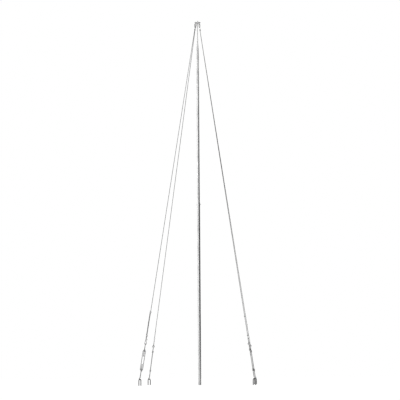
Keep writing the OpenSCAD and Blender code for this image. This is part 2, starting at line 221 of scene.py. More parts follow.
# Rope clips, with the saddle's grip in degrees
CLIP_R = 0.003
CLIP_ROOT = 0.84
CLIP_THREAD_PITCH = 0.001
CLIP_BARE = 0.0012
CLIP_AF = 0.010
CLIP_NUT = 0.005
CLIP_END = 0.004
SADDLE_HALF = 0.011
SADDLE_WEB = 0.005
SADDLE_RIM = 0.0025
SADDLE_EDGE = 0.0012
SADDLE_CORNER = 0.0025
SADDLE_SLOPE = 0.003
SADDLE_SIDE = 0.0005
SADDLE_EAR = 0.35
SADDLE_GRIP = 168.0
ARM_Y = ROPE_R + SEAT_GAP + CLIP_R
FIRST_CLIP = 0.014
CLIP_PITCH = 0.056
LAST_CLIP = 0.020

# Turnbuckles and staples, with turns in degrees
SCREW_R = 0.0065
SCREW_ROOT_R = SCREW_R - 0.0009
SCREW_POINT_R = 0.8 * SCREW_ROOT_R
SCREW_PITCH = 0.002
SCREW_END = 0.001
SCREW_HIDDEN = 0.004
RUN_OUT = 0.002
RING_R = 0.015
RING_BAR = 0.005
EYE_SHANK = 0.014
EYE_SHOULDER = 0.0065
EYE_DOME = 0.010
EYE_DOME_TURN = 85.0
HOOK_SWEEP = 255.0
HOOK_TIP = 0.005
HOOK_TIP_R = 0.003
HOOK_TIP_STEPS = 8
HOOK_TIP_LEAST = 0.2
HOOK_NECK = 0.010
HOOK_STRAIGHT = 0.002
HOOK_SHANK = 0.014
LOWER_SCREW = 0.106
UPPER_SCREW = 0.062
INNER_SCREW = 0.084
BODY_LEN = 0.356
SIDE_REACH = 0.019
SIDE_BAR = 0.0055
END_R = 0.012
END_LEN = 0.034
END_EDGE = 0.0022
STAPLE_BAR = 0.007
STAPLE_HALF = 0.025
STAPLE_H = 0.110
STAPLE_LEG = 0.94

# Places along a guy, from the middle of its staple's bar
STAPLE_BAR_Z = STAPLE_H - STAPLE_BAR
RING_IN = RING_R - RING_BAR
HOOK_S = RING_IN - STAPLE_BAR - SEAT_GAP
BODY_S = HOOK_S + RING_R + LOWER_SCREW
EYE_S = BODY_S + BODY_LEN + UPPER_SCREW + RING_R
FOOT_LOOP_S = EYE_S + math.sqrt(RING_IN**2 - THIMBLE_HALF**2) - SEAT_GAP + THIMBLE_R
HEAD_LOOP_DROP = BOW_DROP + math.sqrt((BOW_R - BOW_BAR) ** 2 - THIMBLE_HALF**2) - SEAT_GAP + THIMBLE_R


def turned(degrees, axis="Z"):
    return Matrix.Rotation(math.radians(degrees), 4, axis)


def moved(x, y, z):
    return Matrix.Translation((x, y, z))


class Guy:
    """One guy's own frame: origin in its staple's bar, +Z up along the rope, +X outwards."""

    def __init__(self, side, azimuth, foot_tail, turn):
        out = GUY_REACH - LUG_REACH
        rise = LUG_Z - STAPLE_BAR_Z
        lean = math.degrees(math.atan2(out, rise))
        self.side = side
        self.foot_tail = foot_tail
        self.length = math.hypot(out, rise)
        self.head_s = self.length - HEAD_LOOP_DROP
        self.ground = turned(azimuth) @ moved(GUY_REACH, 0, 0)
        self.place = self.ground @ moved(0, 0, STAPLE_BAR_Z) @ turned(-lean, "Y")
        self.turn = turned(turn)

    def at(self, run):
        """The guy's frame, moved along its rope."""
        return self.place @ moved(0, 0, run)


GUYS = (
    Guy("near_right", azimuth=-45.0, foot_tail=0.400, turn=-45.0),
    Guy("far_right", azimuth=45.0, foot_tail=0.310, turn=45.0),
    Guy("far_left", azimuth=135.0, foot_tail=0.200, turn=-45.0),
    Guy("near_left", azimuth=225.0, foot_tail=0.480, turn=-45.0),
)


class Wire:
    """An output in a node tree. Arithmetic on it adds Math nodes."""

    def __init__(self, tree, socket):
        self.tree = tree
        self.socket = socket

    def out(self, name):
        return Wire(self.tree, self.tree.pick(self.socket.node.outputs, name))

    def math(self, operation, *others):
        return self.tree.add("ShaderNodeMath", {"operation": operation}, dict(enumerate((self, *others))))

    def __add__(self, other):
        return self.math("ADD", other)

    def __sub__(self, other):
        return self.math("SUBTRACT", other)

    def __rsub__(self, other):
        return self.tree.add("ShaderNodeMath", {"operation": "SUBTRACT"}, {0: other, 1: self})

    def __mul__(self, other):
        return self.math("MULTIPLY", other)

    def __truediv__(self, other):
        return self.math("DIVIDE", other)

    __radd__ = __add__
    __rmul__ = __mul__


class Tree:
    """Adds nodes to a shader, world or geometry tree."""

    def __init__(self, tree):
        self.tree = tree

    @staticmethod
    def pick(sockets, key):
        """The shown socket with this number or name."""
        shown = [socket for socket in sockets if socket.enabled]
        if isinstance(key, int):
            return shown[key]
        return next(socket for socket in shown if socket.name == key)

    def add(self, kind, settings=None, inputs=None, output=0):
        """Adds a node and returns one of its outputs."""
        node = self.tree.nodes.new(kind)
        for name, value in (settings or {}).items():
            setattr(node, name, value)
        for key, value in (inputs or {}).items():
            self.feed(self.pick(node.inputs, key), value)
        if not len(node.outputs):
            return None
        return Wire(self, self.pick(node.outputs, output))

    def feed(self, socket, value):
        """Links a wire to a socket, or sets the socket's value."""
        if isinstance(value, Wire):
            self.tree.links.new(value.socket, socket)
        elif isinstance(value, list):
            for one in value:
                self.feed(socket, one)
        else:
            socket.default_value = value

    def vector(self, operation, *values):
        return self.add("ShaderNodeVectorMath", {"operation": operation}, dict(enumerate(values)))

    def blend(self, factor, low, high):
        settings = {"data_type": "RGBA"}
        return self.add("ShaderNodeMix", settings, {"Factor": factor, "A": low, "B": high}, "Result")

    def steps(self, value, low, high):
        """Goes smoothly from 0 at low to 1 at high."""
        settings = {"interpolation_type": "SMOOTHSTEP"}
        inputs = {"Value": value, "From Min": low, "From Max": high}
        return self.add("ShaderNodeMapRange", settings, inputs)

    def noise(self, point, scale, detail=4.0, rough=0.55):
        inputs = {"Vector": point, "Scale": scale, "Detail": detail, "Roughness": rough}
        return self.add("ShaderNodeTexNoise", None, inputs)

    def stretched(self, point, scale):
        return self.vector("MULTIPLY", point, scale)

    def store(self, geometry, kind, name, value):
        settings = {"data_type": kind, "domain": "POINT"}
        inputs = {"Geometry": geometry, "Name": name, "Value": value}
        return self.add("GeometryNodeStoreNamedAttribute", settings, inputs)

    def circle(self, sides, radius):
        return self.add("GeometryNodeCurvePrimitiveCircle", None, {"Resolution": sides, "Radius": radius})

    def swept(self, curve, section):
        inputs = {"Curve": curve, "Profile Curve": section, "Fill Caps": True}
        return self.add("GeometryNodeCurveToMesh", None, inputs)


def grey(tone):
    return (tone, tone, tone, 1.0)


class Finish(Tree):
    """A metal's material: a Principled shader fed by patterns on Object coordinates."""

    def __init__(self, name):
        self.material = bpy.data.materials.new(name)
        self.material.use_nodes = True
        super().__init__(self.material.node_tree)
        self.tree.nodes.clear()
        self.point = self.add("ShaderNodeTexCoord", output="Object")

    def soil(self, top):
        """Dirt that thins out upwards from the ground."""
        height = self.add("ShaderNodeSeparateXYZ", None, {"Vector": self.point}, "Z")
        return self.steps(height, top, 0.0) * self.steps(self.noise(self.point, 38.0), 0.1, 0.6)

    def metal(self, colour, roughness, metallic, height, bump):
        normal = self.add("ShaderNodeBump", None, {"Height": height, "Distance": bump, "Strength": 1.0})
        inputs = {"Base Color": colour, "Roughness": roughness, "Metallic": metallic, "Normal": normal}
        shader = self.add("ShaderNodeBsdfPrincipled", None, inputs)
        self.add("ShaderNodeOutputMaterial", None, {"Surface": shader})
        return self.material


def galvanised_tube():
    """Hot-dip zinc on tube: spangle, dull patina, run-off streaks and a grimy foot."""
    f = Finish("galvanised_tube")
    cells = f.add("ShaderNodeTexVoronoi", None, {"Vector": f.point, "Scale": 95.0}, "Color")
    spangle = f.add("ShaderNodeSeparateColor", None, {"Color": cells}, "Red")
    patina = f.steps(f.noise(f.point, 7.0, 6.0, 0.6), 0.38, 0.66)
    streaks = f.steps(f.noise(f.stretched(f.point, (150.0, 150.0, 2.2)), 1.0, 5.0), 0.46, 0.72)
    soil = f.soil(0.12)
    shade = 0.84 + 0.14 * spangle - 0.16 * patina - 0.15 * streaks - 0.2 * soil
    colour = f.blend(shade, grey(0.05), grey(0.65))
    roughness = 0.27 + 0.14 * patina + 0.08 * spangle + 0.1 * streaks + 0.2 * soil
    relief = 0.5 * spangle + f.noise(f.point, 420.0, 3.0)
    return f.metal(colour, roughness, 0.96 - 0.3 * soil, relief, 0.00012)


def rod_metal():
    """Drawn aluminium with fine lines along the rod and a dull film."""
    f = Finish("rod_metal")
    lines = f.noise(f.stretched(f.point, (900.0, 900.0, 9.0)), 1.0, 3.0)
    film = f.steps(f.noise(f.point, 24.0, 5.0), 0.4, 0.7)
    shade = 0.82 + 0.12 * lines - 0.2 * film
    colour = f.blend(shade, grey(0.06), grey(0.58))
    return f.metal(colour, 0.3 + 0.2 * film, 1.0, lines, 0.00008)


def pressed_aluminium():
    """Soft aluminium pressed round rope: bright, faintly mottled and scuffed across."""
    f = Finish("pressed_aluminium")
    mottle = f.steps(f.noise(f.point, 70.0, 5.0), 0.4, 0.7)
    scuffs = f.steps(f.noise(f.stretched(f.point, (220.0, 220.0, 1100.0)), 1.0, 4.0), 0.48, 0.72)
    shade = 0.94 - 0.18 * mottle - 0.16 * scuffs
    colour = f.blend(shade, grey(0.1), grey(0.88))
    roughness = 0.3 + 0.12 * mottle + 0.14 * scuffs
    return f.metal(colour, roughness, 1.0, mottle + 0.6 * scuffs, 0.00005)


def worn_zinc(name, tone, dull, dirt):
    """Zinc on forgings and fasteners: a mottled, stained skin, soiled near the ground."""
    f = Finish(name)
    mottle = f.noise(f.point, 130.0, 6.0, 0.62)
    stain = f.steps(f.noise(f.point, 34.0, 5.0), 0.42, 0.68)
    grit = f.noise(f.point, 900.0, 2.0)
    soil = f.soil(0.18)
    shade = 0.72 + 0.4 * mottle - 0.3 * stain - 0.1 * grit - dirt * soil
    colour = f.blend(shade, grey(tone * 0.25), grey(tone * 1.2))
    roughness = dull + 0.2 * stain + 0.1 * grit + 0.2 * soil
    return f.metal(colour, roughness, 0.9 - 0.5 * dirt * soil, mottle + 0.4 * grit, 0.00018)


def wire_rope():
    """Weathered rope: fine wires laid along each strand, with painted shade and grease in the grooves
    between them, and dust.
    """
    f = Finish("wire_rope")
    section = f.add("ShaderNodeAttribute", {"attribute_name": "section"}, None, "Vector")
    along = f.add("ShaderNodeAttribute", {"attribute_name": "along"}, None, "Fac")
    across = f.add("ShaderNodeSeparateXYZ", None, {"Vector": section}, "X")
    angle = across.out("Y").math("ARCTAN2", across)
    wires = (STRAND_WIRES * angle + along * (TAU * STRAND_WIRES / WIRE_LAY)).math("SINE")
    # High on the wires and low between them: the bump, and also painted shade in the grooves, with grease
    wire_relief_and_groove_shade = f.steps(wires, -0.8, 0.6)
    dust = f.steps(f.noise(f.point, 17.0, 5.0), 0.4, 0.66)
    fine = f.noise(f.point, 600.0, 3.0)
    # The grooves between the wires are painted darker: painted shade there, with grease; dust darkens in
    # patches
    shade = 0.3 + 0.55 * wire_relief_and_groove_shade + 0.2 * fine - 0.25 * dust
    colour = f.blend(shade, grey(0.035), grey(0.26))
    return f.metal(colour, 0.42 + 0.18 * dust, 0.85, wire_relief_and_groove_shade, 0.0002)


FINISHES = {
    "galvanised_tube": galvanised_tube(),
    "rod_metal": rod_metal(),
    "pressed_aluminium": pressed_aluminium(),
    "zinc_fittings": worn_zinc("zinc_fittings", tone=0.7, dull=0.34, dirt=0.4),
    "dark_steel": worn_zinc("dark_steel", tone=0.3, dull=0.42, dirt=1.1),
    "wire_rope": wire_rope(),
}


def dress(name, mesh, slot, node, finish=None):
    """Makes a mesh a piece of the object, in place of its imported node."""
    piece = bpy.data.objects.new(name, mesh)
    bpy.context.scene.collection.objects.link(piece)
    mesh.name = name
    mesh.materials.clear()
    mesh.materials.append(FINISHES[finish or slot])
    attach(piece, "root")
    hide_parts(node)


class Shape:
    """Rings of points skinned into one mesh."""

    def __init__(self):
        self.points = []
        self.faces = []
        self.count = 0

    def take(self, points, faces, place=None):
        """Adds points and faces, moved to a place if one is given."""
        points = np.asarray(points, float)
        if place is not None:
            matrix = np.array(place)
            points = points @ matrix[:3, :3].T + matrix[:3, 3]
        self.points.append(points)
        self.faces.extend([corner + self.count for corner in face] for face in faces)
        self.count += len(points)

    def skin(self, rings, place=None, joined=False):
        """Joins each ring to the next, and the last to the first if joined, or else closes both ends."""
        rows = len(rings)
        sides = len(rings[0])
        faces = []
        for i in range(rows if joined else rows - 1):
            low = i * sides
            high = (i + 1) % rows * sides
            for j in range(sides):
                k = (j + 1) % sides
                faces.append((low + j, low + k, high + k, high + j))
        if not joined:
            faces.append(tuple(reversed(range(sides))))
            faces.append(tuple(range((rows - 1) * sides, rows * sides)))
        self.take(np.concatenate(rings), faces, place)

    def take_mesh(self, mesh, place=None):
        """Adds a copy of a mesh."""
        points = np.zeros(len(mesh.vertices) * 3)
        mesh.vertices.foreach_get("co", points)
        self.take(points.reshape(-1, 3), [tuple(face.vertices) for face in mesh.polygons], place)

    def mesh(self, name):
        """One mesh of all that was added, smooth except at sharp edges."""
        mesh = bpy.data.meshes.new(name)
        mesh.from_pydata(np.concatenate(self.points).tolist(), [], self.faces)
        mesh.polygons.foreach_set("use_smooth", [True] * len(mesh.polygons))
        mesh.set_sharp_from_angle(angle=SMOOTH_ANGLE)
        return mesh

    def dress(self, name, slot, node, finish=None):
        """Makes the shape a piece of the object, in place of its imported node."""
        dress(name, self.mesh(name), slot, node, finish)


def rings_of(profile, sides):
    """Rings round Z for a profile of (radius, height) points."""
    angles = np.arange(sides) * TAU / sides
    circle = np.stack([np.cos(angles), np.sin(angles), np.zeros(sides)], axis=1)
    return [circle * radius + np.array((0.0, 0.0, height)) for radius, height in profile]


def bar_rings(path, radius, sides=BAR_SIDES, joined=False):
    """Rings of a round bar along a path of (x, z) points."""
    path = np.asarray(path, float)
    radii = np.broadcast_to(radius, len(path))
    if joined:
        ahead = np.roll(path, -1, axis=0) - np.roll(path, 1, axis=0)
    else:
        ahead = np.gradient(path, axis=0)
    ahead /= np.linalg.norm(ahead, axis=1)[:, None]
    angles = np.arange(sides) * TAU / sides
    rings = []
    for (x, z), (dx, dz), r in zip(path, ahead, radii):
        side = np.array((dz, 0.0, -dx))
        spread = np.cos(angles)[:, None] * side + np.sin(angles)[:, None] * np.array((0.0, 1.0, 0.0))
        rings.append(np.array((x, 0.0, z)) + r * spread)
    return rings


def arc(centre, radius, start, end, steps):
    """Points of an arc in (x, z), with its angles in degrees."""
    angles = np.radians(np.linspace(start, end, steps + 1))
    return [(centre[0] + radius * math.cos(a), centre[1] + radius * math.sin(a)) for a in angles]


def mirrored(points):
    """The same points on the other side of x = 0, in reverse order."""
    return [(-x, z) for x, z in reversed(points)]


def rounded(radius, low, high, edge):
    """Profile of a round piece with rounded edges."""
    steps = np.radians(np.linspace(0.0, 90.0, 5))
    bottom = [(radius - edge + edge * math.sin(a), low + edge - edge * math.cos(a)) for a in steps]
    top = [(radius - edge + edge * math.cos(a), high - edge + edge * math.sin(a)) for a in steps]
    return bottom + top


def level_ring(radius, height):
    """A ring round Z, whose radius and height may change round it."""
    angles = np.arange(ROUND) * TAU / ROUND
    radii = np.broadcast_to(radius, ROUND)
    heights = np.broadcast_to(height, ROUND)
    return np.stack([radii * np.cos(angles), radii * np.sin(angles), heights], axis=1)


def hexagon(across):
    """Radii of a hexagon, given its width across flats."""
    angles = np.arange(ROUND) * TAU / ROUND
    return across / 2 / np.cos((angles + TAU / 12) % (TAU / 6) - TAU / 12)


def hexagon_rings(across, low, high, low_cut=True):
    """Rings of a hexagon nut or head, chamfered at its upper end and, if low_cut, its lower one."""
    flat = hexagon(across)
    inner = across * NUT_FACE
    drop = (flat - inner) * math.tan(NUT_SLOPE)
    bottom = [level_ring(flat, low)]
    if low_cut:
        bottom = [level_ring(inner, low), level_ring(flat, low + drop)]
    return [*bottom, level_ring(flat, high - drop), level_ring(inner, high)]


def geometry_tree(name, sockets):
    """An empty Geometry Nodes tree with the given inputs, and a mesh as its output."""
    group = bpy.data.node_groups.new(name, "GeometryNodeTree")
    for socket, kind in sockets.items():
        group.interface.new_socket(socket, in_out="INPUT", socket_type="NodeSocket" + kind)
    group.interface.new_socket("Mesh", in_out="OUTPUT", socket_type="NodeSocketGeometry")
    return Tree(group)


def close_tree(t, geometry, finish):
    """Ends a Geometry Nodes tree: instances realized, finish set."""
    real = t.add("GeometryNodeRealizeInstances", None, {"Geometry": geometry})
    done = t.add("GeometryNodeSetMaterial", None, {"Geometry": real, "Material": finish})
    t.add("NodeGroupOutput", None, {"Mesh": done})
    return t.tree


def winding_tree():
    """Geometry Nodes: strands wound round a path, with or without a core."""
    t = geometry_tree("winding", {
        "Path": "Geometry", "Strands": "Int", "Lay": "Float", "Winding Radius": "Float",
        "Strand Radius": "Float", "Core Radius": "Float", "Cored": "Bool", "Steps": "Int",
        "Sides": "Int", "Finish": "Material",
    })
    given = t.add("NodeGroupInput")
    lay = given.out("Lay")
    amount = given.out("Strands")
    line = t.add("GeometryNodeMeshToCurve", None, {"Mesh": given})
    step = lay / given.out("Steps")
    fine = t.add("GeometryNodeResampleCurve", {"mode": "LENGTH"}, {"Curve": line, "Length": step})
    inputs = {"Geometry": fine, "Amount": amount}
    copies = t.add("GeometryNodeDuplicateElements", {"domain": "SPLINE"}, inputs)
    along = t.add("GeometryNodeSplineParameter", output="Length")
    angle = (along / lay + copies.out("Duplicate Index") / amount) * TAU
    normal = t.add("GeometryNodeInputNormal")
    across = t.vector("CROSS_PRODUCT", t.add("GeometryNodeInputTangent"), normal)
    radius = given.out("Winding Radius")
    offset = t.vector(
        "ADD",
        t.vector("SCALE", normal, angle.math("COSINE") * radius),
        t.vector("SCALE", across, angle.math("SINE") * radius),
    )
    wound = t.add("GeometryNodeSetPosition", None, {"Geometry": copies, "Offset": offset})
    wound = t.store(wound, "FLOAT", "along", along)
    section = t.circle(given.out("Sides"), given.out("Strand Radius"))
    section = t.store(section, "FLOAT_VECTOR", "section", t.add("GeometryNodeInputPosition"))
    strands = t.swept(wound, section)
    core = t.swept(line, t.circle(CORE_SIDES, given.out("Core Radius")))
    inputs = {"Switch": given.out("Cored"), "True": core}
    kept = t.add("GeometryNodeSwitch", {"input_type": "GEOMETRY"}, inputs)
    both = t.add("GeometryNodeJoinGeometry", None, {"Geometry": [strands, kept]})
    smooth = t.add("GeometryNodeSetShadeSmooth", None, {"Geometry": both})
    return close_tree(t, smooth, given.out("Finish"))


def row_tree():
    """Geometry Nodes: one piece set at each point of a row."""
    t = geometry_tree("row", {"Places": "Geometry", "Piece": "Object", "Finish": "Material"})
    given = t.add("NodeGroupInput")
    piece = t.add("GeometryNodeObjectInfo", None, {"Object": given.out("Piece")}, "Geometry")
    row = t.add("GeometryNodeInstanceOnPoints", None, {"Points": given, "Instance": piece})
    return close_tree(t, row, given.out("Finish"))


WINDING = winding_tree()
ROW = row_tree()


def grown(tree, lines, values):
    """Runs a tree on lines of points and returns its result as a plain mesh."""
    points = [point for line in lines for point in line]
    edges = []
    first = 0
    for line in lines:
        edges.extend((first + k, first + k + 1) for k in range(len(line) - 1))
        first += len(line)
    base = bpy.data.meshes.new("base")
    base.from_pydata(points, edges, [])
    holder = bpy.data.objects.new("holder", base)
    bpy.context.scene.collection.objects.link(holder)
    modifier = holder.modifiers.new("grow", "NODES")
    modifier.node_group = tree
    for item in tree.interface.items_tree:
        if item.in_out == "INPUT" and item.name in values:
            modifier[item.identifier] = values[item.name]
    graph = bpy.context.evaluated_depsgraph_get()
    mesh = bpy.data.meshes.new_from_object(holder.evaluated_get(graph))
    bpy.data.objects.remove(holder)
    bpy.data.meshes.remove(base)
    return mesh


def thread_mesh(spans, radius, pitch, steps=THREAD_STEPS):
    """Screw threads along Z, each between two heights."""
    wire_relief_and_groove_shade = pitch / 2
    values = {
        "Strands": 1, "Lay": pitch, "Winding Radius": radius - wire_relief_and_groove_shade, "Strand Radius": wire_relief_and_groove_shade,
        "Core Radius": radius - wire_relief_and_groove_shade, "Cored": True, "Steps": steps, "Sides": THREAD_SIDES,
    }
    return grown(WINDING, [((0, 0, low), (0, 0, high)) for low, high in spans], values)


def lower_tube_piece():
    """The lower mast tube, with bevelled rims."""
    tube = Shape()
    inner = UPPER_R + TUBE_GAP
    low = LOWER_LOW.z
    top = LOWER_HIGH.z
    profile = [
        (inner, low), (LOWER_R - TUBE_RIM, low), (LOWER_R, low + TUBE_RIM),
        (LOWER_R, top - TUBE_RIM), (LOWER_R - TUBE_RIM, top), (inner, top),
    ]
    tube.skin(rings_of(profile, TUBE_SIDES), joined=True)
    tube.dress("lower_mast_tube", "galvanised_tube", "lower_tube")


def upper_tube_piece():
    """The upper mast tube, swaged at its top to a neck round the rod."""
    tube = Shape()
    low = UPPER_LOW.z
    top = UPPER_HIGH.z
    neck = top - NECK_LEN
    taper = neck - TAPER_LEN
    inner = UPPER_R - TUBE_WALL
    swage = []
    for share in np.linspace(0.0, 1.0, TAPER_POINTS):
        ease = share * share * (3.0 - 2.0 * share)
        drawn_in = (1.0 - TAPER_EASE) * share + TAPER_EASE * ease
        swage.append((UPPER_R + (NECK_R - UPPER_R) * drawn_in, taper + TAPER_LEN * share))
    outside = [(UPPER_R, low), *swage, (NECK_R, top - TUBE_RIM), (NECK_R - TUBE_RIM, top)]
    inside = [(ROD_R, top), (ROD_R, neck), (inner, taper), (inner, low)]
    tube.skin(rings_of(outside + inside, TUBE_SIDES), joined=True)
    tube.dress("upper_mast_tube", "galvanised_tube", "upper_tube")


def foot_piece():
    """The foot cap: a disc under the lower tube and a spigot inside it."""
    cap = Shape()
    disc = LOWER_LOW.z
    profile = [*rounded(LOWER_R, CAP_LOW.z, disc, CAP_EDGE), (UPPER_R, disc), (UPPER_R, CAP_HIGH.z)]
    cap.skin(rings_of(profile, TUBE_SIDES))
    cap.dress("mast_foot_cap", "zinc_fittings", "foot_cap")


def rod_piece():
    """The air rod, pointed at its top, with its edges eased."""
    rod = Shape()
    top = ROD_HIGH.z
    shoulder = top - ROD_POINT
    point = [(ROD_R, shoulder - ROD_EASE), (ROD_R - 0.6 * ROD_EASE, shoulder + 0.5 * ROD_EASE)]
    tip = [(ROD_FLAT_R + 0.3 * ROD_EASE, top - 0.6 * ROD_EASE), (ROD_FLAT_R - 0.4 * ROD_EASE, top)]
    rod.skin(rings_of([(ROD_R, ROD_LOW.z), *point, *tip], HUB_SIDES))
    rod.dress("pointed_air_rod", "rod_metal", "air_rod")


def bolt_piece():
    """The two crossed bolts through the tubes' joint, with nuts and threaded ends."""
    bolts = Shape()
    seat = LOWER_R + SEAT_GAP
    nut = seat + BOLT_NUT
    end = nut + BOLT_END
    thread = thread_mesh([(nut - THREAD_IN, end - THREAD_IN)], BOLT_R, BOLT_PITCH)
    shank = [(BOLT_ROOT_R, -seat), (BOLT_ROOT_R, end - END_CHAMFER), (BOLT_POINT_R, end)]
    for k, drop in enumerate(BOLT_DROPS):
        place = moved(0, 0, LOWER_HIGH.z - drop) @ turned(90.0 * k) @ turned(90.0, "Y")
        bolts.skin(hexagon_rings(BOLT_AF, seat, nut), place)
        head = hexagon_rings(BOLT_AF, seat, seat + BOLT_HEAD, low_cut=False)
        bolts.skin(head, place @ turned(180.0, "X"))
        bolts.skin(rings_of(shank, SCREW_SIDES), place)
        bolts.take_mesh(thread, place)
    bolts.dress("joint_bolts_and_nuts", "zinc_fittings", "joint_bolts")


def plate_rings(outline, hole, half, bevel):
    """Rings of an upright plate with a hole, bevelled all round. Outlines give (x, z) by inset."""
    outer = ((bevel, half), (0.0, half - bevel), (0.0, bevel - half), (bevel, -half))
    rings = []
    for inset, y in outer:
        rings.append(np.array([(x, y, z) for x, z in outline(inset)]))
    for inset, y in reversed(outer):
        rings.append(np.array([(x, y, z) for x, z in hole(-inset)]))
    return rings


def eye_plate(shape, place, reach, end, back, hole, half, bevel):
    """A plate along X with a round end of radius end, and a hole at reach from its origin."""
    def outline(inset):
        r = end - inset
        turn = arc((reach, 0.0), r, -90.0, 90.0, steps=24)
        steps = range(1, EDGE_STEPS + 1)
        top = [(reach - back * k / EDGE_STEPS, r) for k in steps]
        rear = [(reach - back, r - 2.0 * r * k / EDGE_STEPS) for k in steps[:-1]]
        bottom = [(reach - back * k / EDGE_STEPS, -r) for k in reversed(steps)]
        return [*turn, *top, *rear, *bottom]

    def round_hole(inset):
        spots = []
        for x, z in outline(0.0):
            scale = (hole - inset) / math.hypot(x - reach, z)
            spots.append((reach + (x - reach) * scale, z * scale))
        return spots

    shape.skin(plate_rings(outline, round_hole, half, bevel), place, joined=True)


def bead_rings():
    """Rings of a weld bead up a lug's side: scalloped, with rounded ends."""
    share = np.sin(np.linspace(-0.5, 0.5, BEAD_POINTS) * math.pi)
    heights = share * LUG_END
    scallops = 1.0 - BEAD_DIP * np.abs(np.sin(heights * math.pi / BEAD_STEP)) ** 3
    ripple = BEAD_R * scallops * np.maximum(BEAD_LEAST, np.sqrt(1.0 - share**10))
    return bar_rings([(0.0, height) for height in heights], ripple, BEAD_SIDES)


def grub_rings():
    """Rings of a grub screw in the hub, with a hexagon socket in its end."""
    end = HUB_R + GRUB_PROUD
    socket = hexagon(GRUB_AF)
    outside = [(GRUB_R, HUB_R - GRUB_DEEP), (GRUB_R, end - END_CHAMFER), (GRUB_R - END_CHAMFER, end)]
    inside = [(socket, end), (socket, HUB_R - GRUB_PROUD)]
    return [level_ring(radius, height) for radius, height in outside + inside]


def head_piece():
    """The guy head: chamfered hub, four lugs with weld beads, and grub screws between them."""
    head = Shape()
    middle = moved(0, 0, LUG_Z)
    edge = HUB_R - HUB_CHAMFER
    side = HUB_HALF - HUB_CHAMFER
    lower = [(ROD_R, -HUB_HALF), (edge, -HUB_HALF), (HUB_R, -side)]
    upper = [(HUB_R, side), (edge, HUB_HALF), (ROD_R, HUB_HALF)]
    head.skin(rings_of(lower + upper, HUB_SIDES), middle, joined=True)
    root = math.sqrt(HUB_R**2 - LUG_HALF**2)
    for k in range(4):
        place = middle @ turned(45.0 + 90.0 * k)
        eye_plate(head, place, LUG_REACH, LUG_END, LUG_BACK, PIN_R + SEAT_GAP, LUG_HALF, LUG_BEVEL)
        for y in (-LUG_HALF, LUG_HALF):
            head.skin(bead_rings(), place @ moved(root, y, 0))
        head.skin(grub_rings(), place @ turned(45.0) @ turned(90.0, "Y"))
    head.dress("guy_head_hub", "zinc_fittings", "guy_head")


def take_bow(shape, place):
    """A shackle's bow, hanging from its two ears."""
    leg = [(BOW_R, -BOW_DROP * share) for share in np.linspace(0.0, BOW_LEG, 9)]
    path = [*leg, *arc((0.0, -BOW_DROP), BOW_R, 0.0, -180.0, steps=28), *mirrored(leg)]
    flare = [BOW_BAR * (1.0 + EAR_FLARE * max(0.0, 1.0 + z / EAR_FLARE_LEN)) for _, z in path]
    shape.skin(bar_rings(path, flare), place @ turned(90.0))
    ear = rounded(EAR_R, -EAR_HALF, EAR_HALF, EAR_EDGE)
    for y in (-BOW_R, BOW_R):
        shape.skin(rings_of(ear, COLLAR_SIDES), place @ moved(0, y, 0) @ turned(90.0, "X"))


def take_pin(shape, place):
    """A shackle's screw pin: threaded end, shank, collar and flat eye."""
    reach = BOW_R + EAR_HALF + SEAT_GAP
    end = -reach - COLLAR
    along = place @ turned(-90.0, "X")
    tip = [(PIN_POINT_R, end), (PIN_ROOT_R, end + END_CHAMFER), (PIN_ROOT_R, 0.0)]
    shape.skin(rings_of(tip, BAR_SIDES), along)
    shape.take_mesh(thread_mesh([(end + END_CHAMFER, -BOW_R)], PIN_R, PIN_PITCH), along)
    shape.skin(rings_of([(PIN_R, -PIN_PLAIN), (PIN_R, reach)], SCREW_SIDES), along)
    shape.skin(rings_of(rounded(COLLAR_R, reach, reach + COLLAR, COLLAR_EDGE), COLLAR_SIDES), along)
    flat = along @ moved(0, 0, reach + COLLAR) @ turned(-90.0, "Y")
    eye_plate(shape, flat, PIN_EYE_R, PIN_EYE_R, PIN_EYE_R, PIN_EYE_HOLE, PIN_EYE_HALF, PIN_EYE_BEVEL)


def thimble_section(lip):
    """Section of a thimble's channel, as (distance from the eye's middle, y) points."""
    groove = ROPE_R + SEAT_GAP
    edge = LOOP_R + lip
    hollow = []
    for a in np.linspace(-HOLLOW_TURN, HOLLOW_TURN, 11):
        hollow.append((LOOP_R - groove * math.cos(a), groove * math.sin(a)))
    return [
        (THIMBLE_R, THIMBLE_EDGE - THIMBLE_HALF), (THIMBLE_R + THIMBLE_EDGE, -THIMBLE_HALF),
        (edge - LIP_TOP, -THIMBLE_HALF), (edge, LIP_EDGE - THIMBLE_HALF), (edge, -groove),
        *hollow,
        (edge, groove), (edge, THIMBLE_HALF - LIP_EDGE), (edge - LIP_TOP, THIMBLE_HALF),
        (THIMBLE_R + THIMBLE_EDGE, THIMBLE_HALF), (THIMBLE_R, THIMBLE_HALF - THIMBLE_EDGE),
    ]


def thimble_rings():
    """Rings of a thimble: a grooved channel round the eye, closing upwards along +Z."""
    legs = (THIMBLE_R * math.cos(LEG_ANGLE) - SEAT_GAP) / math.sin(LEG_ANGLE) * LEG_SHARE
    shares = np.linspace(0.05, 1.0, 12)
    bend = np.linspace(math.pi - LEG_ANGLE, TAU + LEG_ANGLE, LOOP_STEPS + 1)
    stations = [(bend[0], legs * share, 1) for share in reversed(shares)]
    stations += [(angle, 0.0, 1) for angle in bend]
    stations += [(bend[-1], legs * share, -1) for share in shares]
    rings = []
    for angle, run, way in stations:
        outward = np.array((math.cos(angle), 0.0, math.sin(angle)))
        upward = way * np.array((math.sin(angle), 0.0, -math.cos(angle)))
        section = thimble_section(THIMBLE_LIP * (1.0 - LIP_FADE * run / legs))
        rings.append(np.array([u * outward + run * upward + np.array((0.0, v, 0.0)) for u, v in section]))
    return rings


